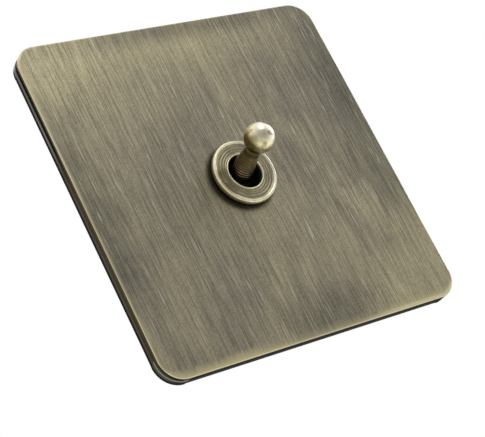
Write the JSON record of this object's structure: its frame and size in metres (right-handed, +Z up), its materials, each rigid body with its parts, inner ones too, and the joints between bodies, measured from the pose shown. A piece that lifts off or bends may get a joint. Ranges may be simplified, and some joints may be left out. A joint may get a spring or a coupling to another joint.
{
  "type": "toggle wall switch",
  "caption": "Square flat brass wall plate with a round collar and a ball-ended toggle lever, on a black frame with its yoke and two-way switch module.",
  "frame": {"origin": "centre of the frame's rear face, on the wall's surface", "axes": "+X to the right as seen from the room, +Y into the wall, +Z up"},
  "size_m": [0.086, 0.0451, 0.086],
  "materials": {
    "plate_brass": "brushed, aged",
    "frame_black": "gloss",
    "collar_brass": "turned, aged",
    "lever_brass": "turned, aged",
    "hub_nylon": "matte",
    "pin_steel": "ground",
    "nut_brass": "machined",
    "washer_steel": "zinc plated",
    "yoke_steel": "zinc plated",
    "case_black": "satin moulded",
    "base_black": "satin moulded",
    "rivet_brass": "machined",
    "plunger_nylon": "satin",
    "spring_steel": "drawn wire",
    "rocker_copper": "stamped copper alloy",
    "contact_silver": "satin silver",
    "terminal_brass": "machined",
    "screw_brass": "machined"
  },
  "bodies": {
    "switch": {"face_plate": "plate_brass", "trim_frame": "frame_black", "collar": "collar_brass", "pivot_pin": "pin_steel", "lock_nut": "nut_brass", "lock_washer": "washer_steel", "mounting_yoke": "yoke_steel", "case_cover": "case_black", "terminal_base": "base_black", "case_rivets": "rivet_brass", "common_terminal": "terminal_brass", "upper_terminal": "terminal_brass", "lower_terminal": "terminal_brass", "fixed_contacts": "contact_silver", "terminal_screws": "screw_brass", "earth_terminal": "terminal_brass", "earth_screw": "screw_brass", "earth_rivet": "rivet_brass"},
    "lever": {"toggle_lever": "lever_brass", "lever_hub": "hub_nylon", "plunger_spring": "spring_steel"},
    "plunger": {"plunger": "plunger_nylon"},
    "rocker": {"rocker_contact": "rocker_copper", "moving_contacts": "contact_silver"}
  },
  "joints": [
    {"name": "lever_pivot", "type": "hinge", "parent": "switch", "child": "lever", "pos_m": [0, 0.0007, 0], "axis": [1, 0, 0], "range_deg": [0, 20]},
    {"name": "rocker_tilt", "type": "hinge", "parent": "switch", "child": "rocker", "pos_m": [0, 0.0135, 0], "axis": [1, 0, 0], "range_deg": [-12, 0]},
    {"name": "plunger_slide", "type": "slide", "parent": "lever", "child": "plunger", "axis": [0, -0.9848, 0.1736], "range_m": [0, 0.0008], "stiffness_N_per_m": 600, "springref_m": -0.002, "deforming": ["plunger_spring"]}
  ],
  "couplings": [
    {"joint": "rocker_tilt", "follows": "lever_pivot", "ratio": -0.6}
  ]
}
